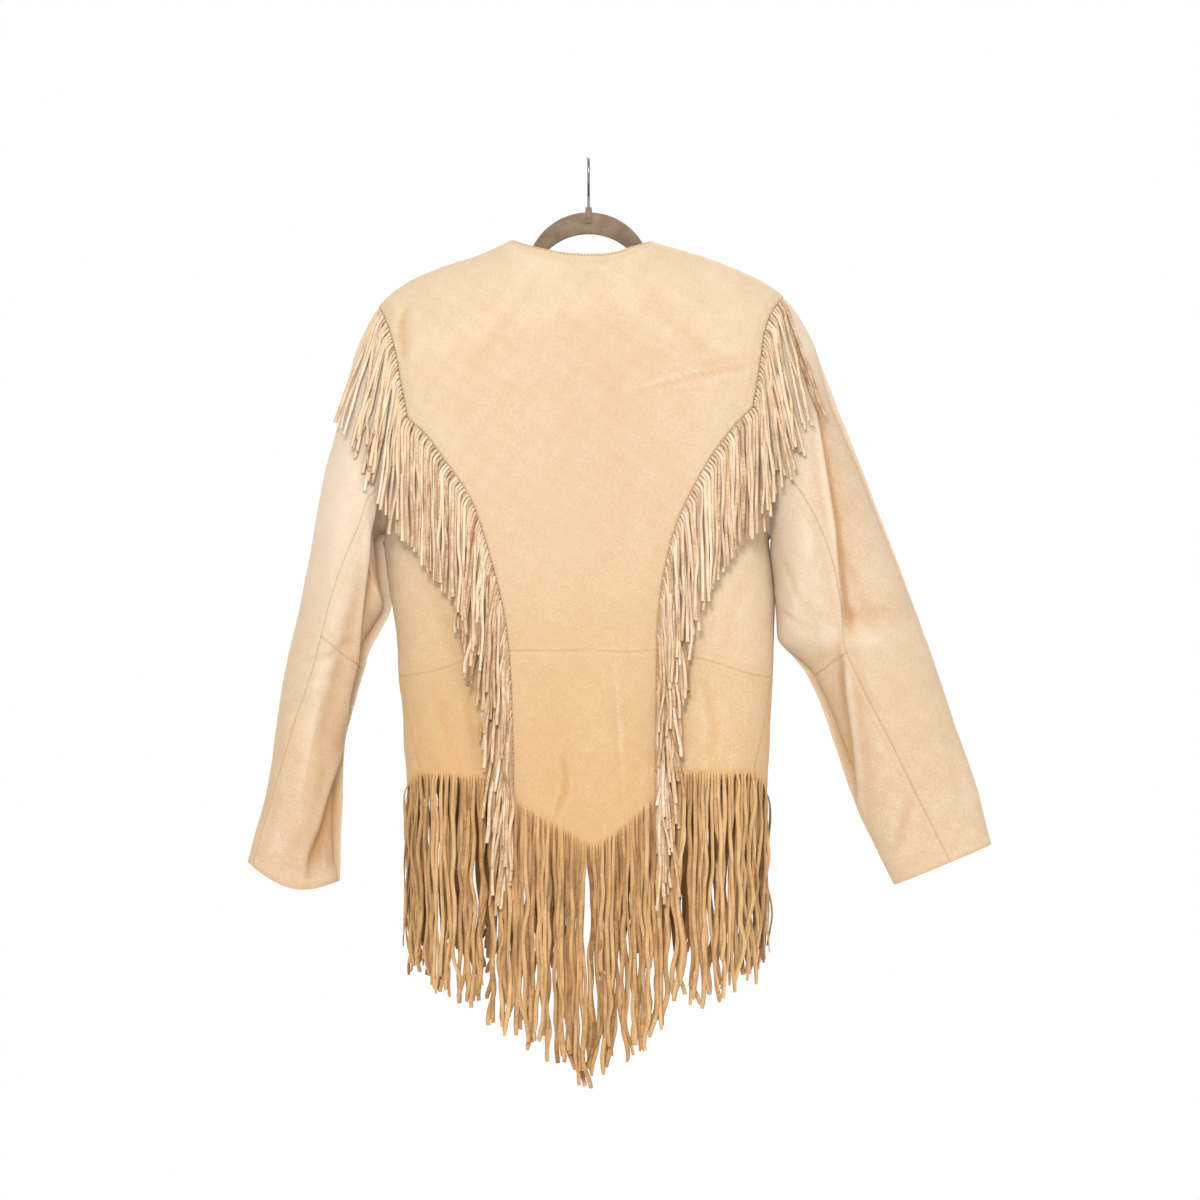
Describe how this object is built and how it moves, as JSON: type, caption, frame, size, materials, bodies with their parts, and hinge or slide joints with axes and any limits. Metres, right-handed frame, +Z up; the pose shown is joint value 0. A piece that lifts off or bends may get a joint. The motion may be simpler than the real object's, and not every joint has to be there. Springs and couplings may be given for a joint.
{
  "type": "fringed buckskin jacket on a slim flocked hanger",
  "caption": "Long-sleeved buckskin jacket cut in shaped panels, with fringe along its yoke-to-hem seams and a hem cut into fringe, hung on a slim flocked hanger with a swivel hook.",
  "frame": {"origin": "underside of the hook's crown, where it rests on the rail, on the hook's swivel axis", "axes": "+Z up along the hook's stem, +X to the wearer's right as the garment is seen from behind, +Y towards the garment's open front"},
  "size_m": [0.8413, 0.1572, 1.0436],
  "materials": {
    "buckskin": "brushed suede nap, pale buff",
    "buckskin_sleeve": "brushed suede nap, paler buff",
    "buckskin_fringe": "brushed suede nap, warm tan",
    "flocked_plastic": "short taupe flocking on moulded plastic",
    "steel_wire": "plated bright wire"
  },
  "bodies": {
    "hook": {"hook": "steel_wire"},
    "jacket": {"back_centre_upper": "buckskin", "back_centre_lower": "buckskin", "back_side_upper_L": "buckskin", "back_side_upper_R": "buckskin", "back_side_lower_L": "buckskin", "back_side_lower_R": "buckskin", "front_centre_upper_L": "buckskin", "front_centre_upper_R": "buckskin", "front_centre_lower_L": "buckskin", "front_centre_lower_R": "buckskin", "front_side_upper_L": "buckskin", "front_side_upper_R": "buckskin", "front_side_lower_L": "buckskin", "front_side_lower_R": "buckskin", "sleeve_top_L": "buckskin_sleeve", "sleeve_top_R": "buckskin_sleeve", "sleeve_under_upper_L": "buckskin_sleeve", "sleeve_under_upper_R": "buckskin_sleeve", "sleeve_under_lower_L": "buckskin_sleeve", "sleeve_under_lower_R": "buckskin_sleeve", "fringe_back_L": "buckskin_fringe", "fringe_back_R": "buckskin_fringe", "fringe_front_L": "buckskin_fringe", "fringe_front_R": "buckskin_fringe", "hem_fringe_back_centre": "buckskin_fringe", "hem_fringe_back_side_L": "buckskin_fringe", "hem_fringe_back_side_R": "buckskin_fringe", "hem_fringe_front_centre_L": "buckskin_fringe", "hem_fringe_front_centre_R": "buckskin_fringe", "hem_fringe_front_side_L": "buckskin_fringe", "hem_fringe_front_side_R": "buckskin_fringe", "hanger": "flocked_plastic"}
  },
  "joints": [
    {"name": "hook_swivel", "type": "hinge", "parent": "hook", "child": "jacket", "pos_m": [0, 0, 0], "axis": [0, 0, 1], "continuous": true}
  ]
}
